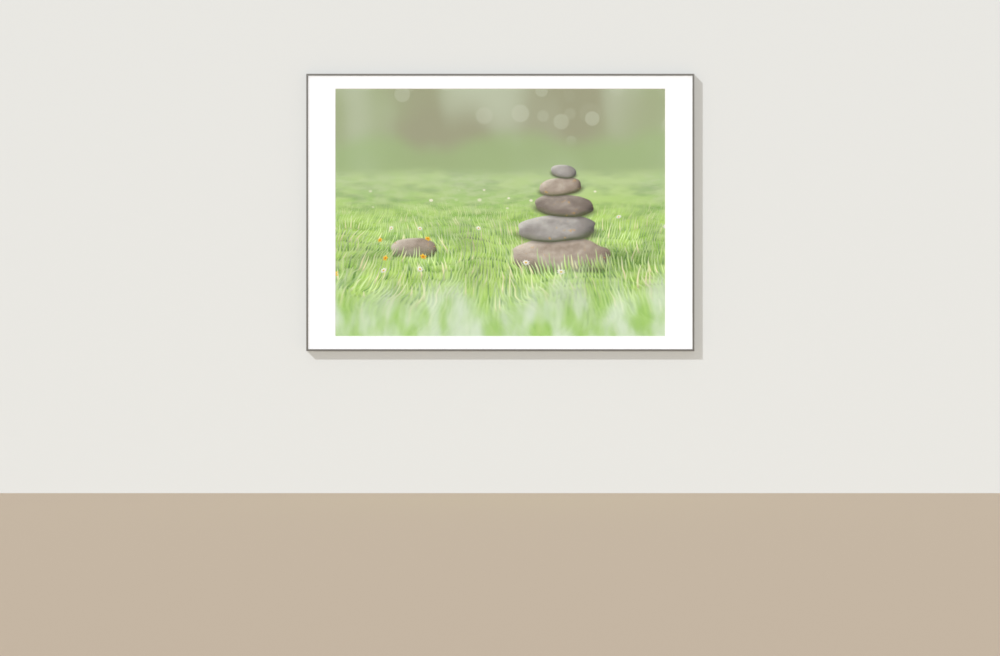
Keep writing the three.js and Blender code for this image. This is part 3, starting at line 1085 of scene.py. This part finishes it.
def dress(prefix, finish, shading, rounding):
    """Gives the CAD nodes whose names start with a prefix a material, shading and softened edges."""
    for name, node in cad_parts.items():
        if not name.startswith(prefix):
            continue
        node.data.materials.clear()
        node.data.materials.append(finish)
        node.modifiers.new("shading", "NODES").node_group = shading
        if rounding:
            flats = node.modifiers.new("flats", "DECIMATE")
            flats.decimate_type = "DISSOLVE"
            flats.angle_limit = FLAT_ANGLE
            edges = node.modifiers.new("edges", "BEVEL")
            edges.width = rounding
            edges.segments = 2
            edges.limit_method = "ANGLE"
            edges.angle_limit = SHARP_ANGLE
            edges.harden_normals = True


def dress_all():
    """Dresses every CAD node except the print, which has a piece of its own."""
    shading = smooth_shading()
    plate = metal_finish("plate_finish", ZINC, ZINC_LIGHT, roughness=0.42, grain=0.2)
    base = metal_finish("base_finish", ZINC, ZINC_LIGHT, roughness=0.46, grain=0.2)
    screw = metal_finish("screw_finish", PASSIVATED, PASSIVATED_LIGHT, roughness=0.35, grain=0.15)
    hanger = metal_finish("hanger_finish", NICKEL, NICKEL_LIGHT, roughness=0.34, grain=0.2)
    spring = metal_finish("spring_finish", SPRING_BLUE, SPRING_LIGHT, roughness=0.3, grain=0.2)
    rail_across = rail_finish("rail_finish_x", "x")
    rail_up = rail_finish("rail_finish_z", "z")
    for prefix, finish, rounding in (
        ("glazing", acrylic_finish(), NO_EDGE),
        ("window_mat", mat_finish(), NO_EDGE),
        ("backing_board", board_finish(), BOARD_EDGE),
        ("wall_bumper", rubber_finish(), NO_EDGE),
        ("rail_top", rail_across, RAIL_EDGE),
        ("rail_bottom", rail_across, RAIL_EDGE),
        ("rail_left", rail_up, RAIL_EDGE),
        ("rail_right", rail_up, RAIL_EDGE),
        ("corner_plate", plate, PLATE_EDGE),
        ("corner_base", base, PLATE_EDGE),
        ("corner_screw", screw, FINE_EDGE),
        ("hanger_left", hanger, PLATE_EDGE),
        ("hanger_right", hanger, PLATE_EDGE),
        ("hanger_screw", screw, FINE_EDGE),
        ("spring_clip", spring, FINE_EDGE),
    ):
        dress(prefix, finish, shading, rounding)


# Stage, lights and camera

FLOOR_Z = (PRINT_CENTRE_PIXEL[1] - FLOOR_PIXEL) * METRES_PER_PIXEL
STAGE_HALF_WIDTH = 9.0
STAGE_TOP = 5.0
STAGE_NEAR = -12.0
STAGE_FAR = 6.0
WALL_COLOUR = (0.63, 0.633, 0.618, 1)
FLOOR_COLOUR = (0.721, 0.583, 0.435, 1)

WORLD_STRENGTH = 0.85
WORLD_DIFFUSE_LOSS = 0.5
SHADOW_DIRECTION = (0.98, 1.0, -0.96)
AHEAD = (0.0, 1.0, -0.04)
FROM_BEHIND = (-0.5, -1.0, -0.8)
WALL_KEY_COLOUR = (0.904, 0.942, 1.0)
WALL_FILL_COLOUR = (0.985, 0.99, 0.965)
CAMERA_REACH = 100


def stage_plane(name, corners, finish):
    """A flat piece of the stage."""
    data = bpy.data.meshes.new(name)
    data.from_pydata(corners, [], [(0, 1, 2, 3)])
    data.materials.append(finish)
    plane = bpy.data.objects.new(name, data)
    bpy.context.scene.collection.objects.link(plane)
    plane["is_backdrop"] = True
    return plane


def wall_finish():
    """Matt paint on the front. The wall isn't there from behind, so that the frame's back shows."""
    made, tree, shader = new_material("wall_finish", roughness=0.95)
    shader.inputs["Base Color"].default_value = WALL_COLOUR
    clear = tree.nodes.new("ShaderNodeBsdfTransparent")
    side = tree.nodes.new("ShaderNodeNewGeometry")
    mix = tree.nodes.new("ShaderNodeMixShader")
    tree.links.new(side.outputs["Backfacing"], mix.inputs[0])
    tree.links.new(shader.outputs[0], mix.inputs[1])
    tree.links.new(clear.outputs[0], mix.inputs[2])
    tree.links.new(mix.outputs[0], tree.nodes["Material Output"].inputs["Surface"])
    return made


def floor_finish():
    """A plain matt floor."""
    made, _, shader = new_material("floor_finish", roughness=0.9)
    shader.inputs["Base Color"].default_value = FLOOR_COLOUR
    return made


def room():
    """The wall and the floor."""
    left, right = -STAGE_HALF_WIDTH, STAGE_HALF_WIDTH
    wall_corners = [
        (left, WALL_Y, FLOOR_Z),
        (right, WALL_Y, FLOOR_Z),
        (right, WALL_Y, STAGE_TOP),
        (left, WALL_Y, STAGE_TOP),
    ]
    floor_corners = [
        (left, STAGE_NEAR, FLOOR_Z),
        (right, STAGE_NEAR, FLOOR_Z),
        (right, STAGE_FAR, FLOOR_Z),
        (left, STAGE_FAR, FLOOR_Z),
    ]
    wall = stage_plane("wall", wall_corners, wall_finish())
    wall.visible_diffuse = False
    wall.visible_glossy = False
    wall.visible_shadow = False
    floor = stage_plane("floor", floor_corners, floor_finish())
    return [wall, floor]


def collection(name, objects):
    """A collection for light linking."""
    made = bpy.data.collections.new(name)
    for each in objects:
        made.objects.link(each)
    return made


def sun(name, towards, strength, angle, receivers, gloss=True, colour=(1.0, 1.0, 1.0)):
    """Parallel light travelling towards a direction, which only the receivers get."""
    data = bpy.data.lights.new(name, "SUN")
    data.energy = strength
    data.color = colour
    data.angle = math.radians(angle)
    lamp = bpy.data.objects.new(name, data)
    lamp.rotation_euler = Vector(towards).to_track_quat("-Z", "Y").to_euler()
    lamp.visible_glossy = gloss
    bpy.context.scene.collection.objects.link(lamp)
    lamp.light_linking.receiver_collection = receivers


def studio():
    """A white world, brighter in reflections than as light."""
    world = bpy.data.worlds.new("studio")
    world.use_nodes = True
    tree = world.node_tree
    back = tree.nodes["Background"]
    back.inputs["Color"].default_value = WHITE
    path = tree.nodes.new("ShaderNodeLightPath")
    diffuse = Field(tree, path.outputs["Is Diffuse Ray"])
    strength = calc(tree, "MULTIPLY_ADD", diffuse, -WORLD_DIFFUSE_LOSS, WORLD_STRENGTH)
    feed(tree, back.inputs["Strength"], strength)
    bpy.context.scene.world = world


def lights(stage_pieces):
    """The suns: one pair for the stage, one pair for the object's front, and one for its back."""
    stage = collection("stage_receivers", stage_pieces)
    pieces = collection("object_receivers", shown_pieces())
    sun(
        "wall_key",
        SHADOW_DIRECTION,
        strength=2.22,
        angle=2.5,
        receivers=stage,
        gloss=False,
        colour=WALL_KEY_COLOUR,
    )
    sun(
        "wall_fill",
        AHEAD,
        strength=1.56,
        angle=2,
        receivers=stage,
        gloss=False,
        colour=WALL_FILL_COLOUR,
    )
    sun("object_key", SHADOW_DIRECTION, strength=1.25, angle=75, receivers=pieces)
    sun("object_fill", AHEAD, strength=1.90, angle=2, receivers=pieces, gloss=False)
    sun("back_key", FROM_BEHIND, strength=1.2, angle=100, receivers=pieces)


def camera():
    """The photograph's view: square on, with the print where the photograph has it."""
    data = bpy.data.cameras.new("camera")
    data.sensor_width = SENSOR * MILLIMETRES
    data.lens = LENS * MILLIMETRES
    data.clip_end = CAMERA_REACH
    made = bpy.data.objects.new("camera", data)
    distance = PHOTO_WIDTH * METRES_PER_PIXEL * LENS / SENSOR
    right = (PHOTO_WIDTH / 2 - PRINT_CENTRE_PIXEL[0]) * METRES_PER_PIXEL
    up = (PRINT_CENTRE_PIXEL[1] - PHOTO_HEIGHT / 2) * METRES_PER_PIXEL
    made.location = (right, FRONT_Y - distance, up)
    made.rotation_euler = (math.pi / 2, 0, 0)
    bpy.context.scene.collection.objects.link(made)
    bpy.context.scene.camera = made


picture_print()
dress_all()
bpy.context.scene.view_settings.view_transform = "Standard"
studio()
lights(room())
camera()
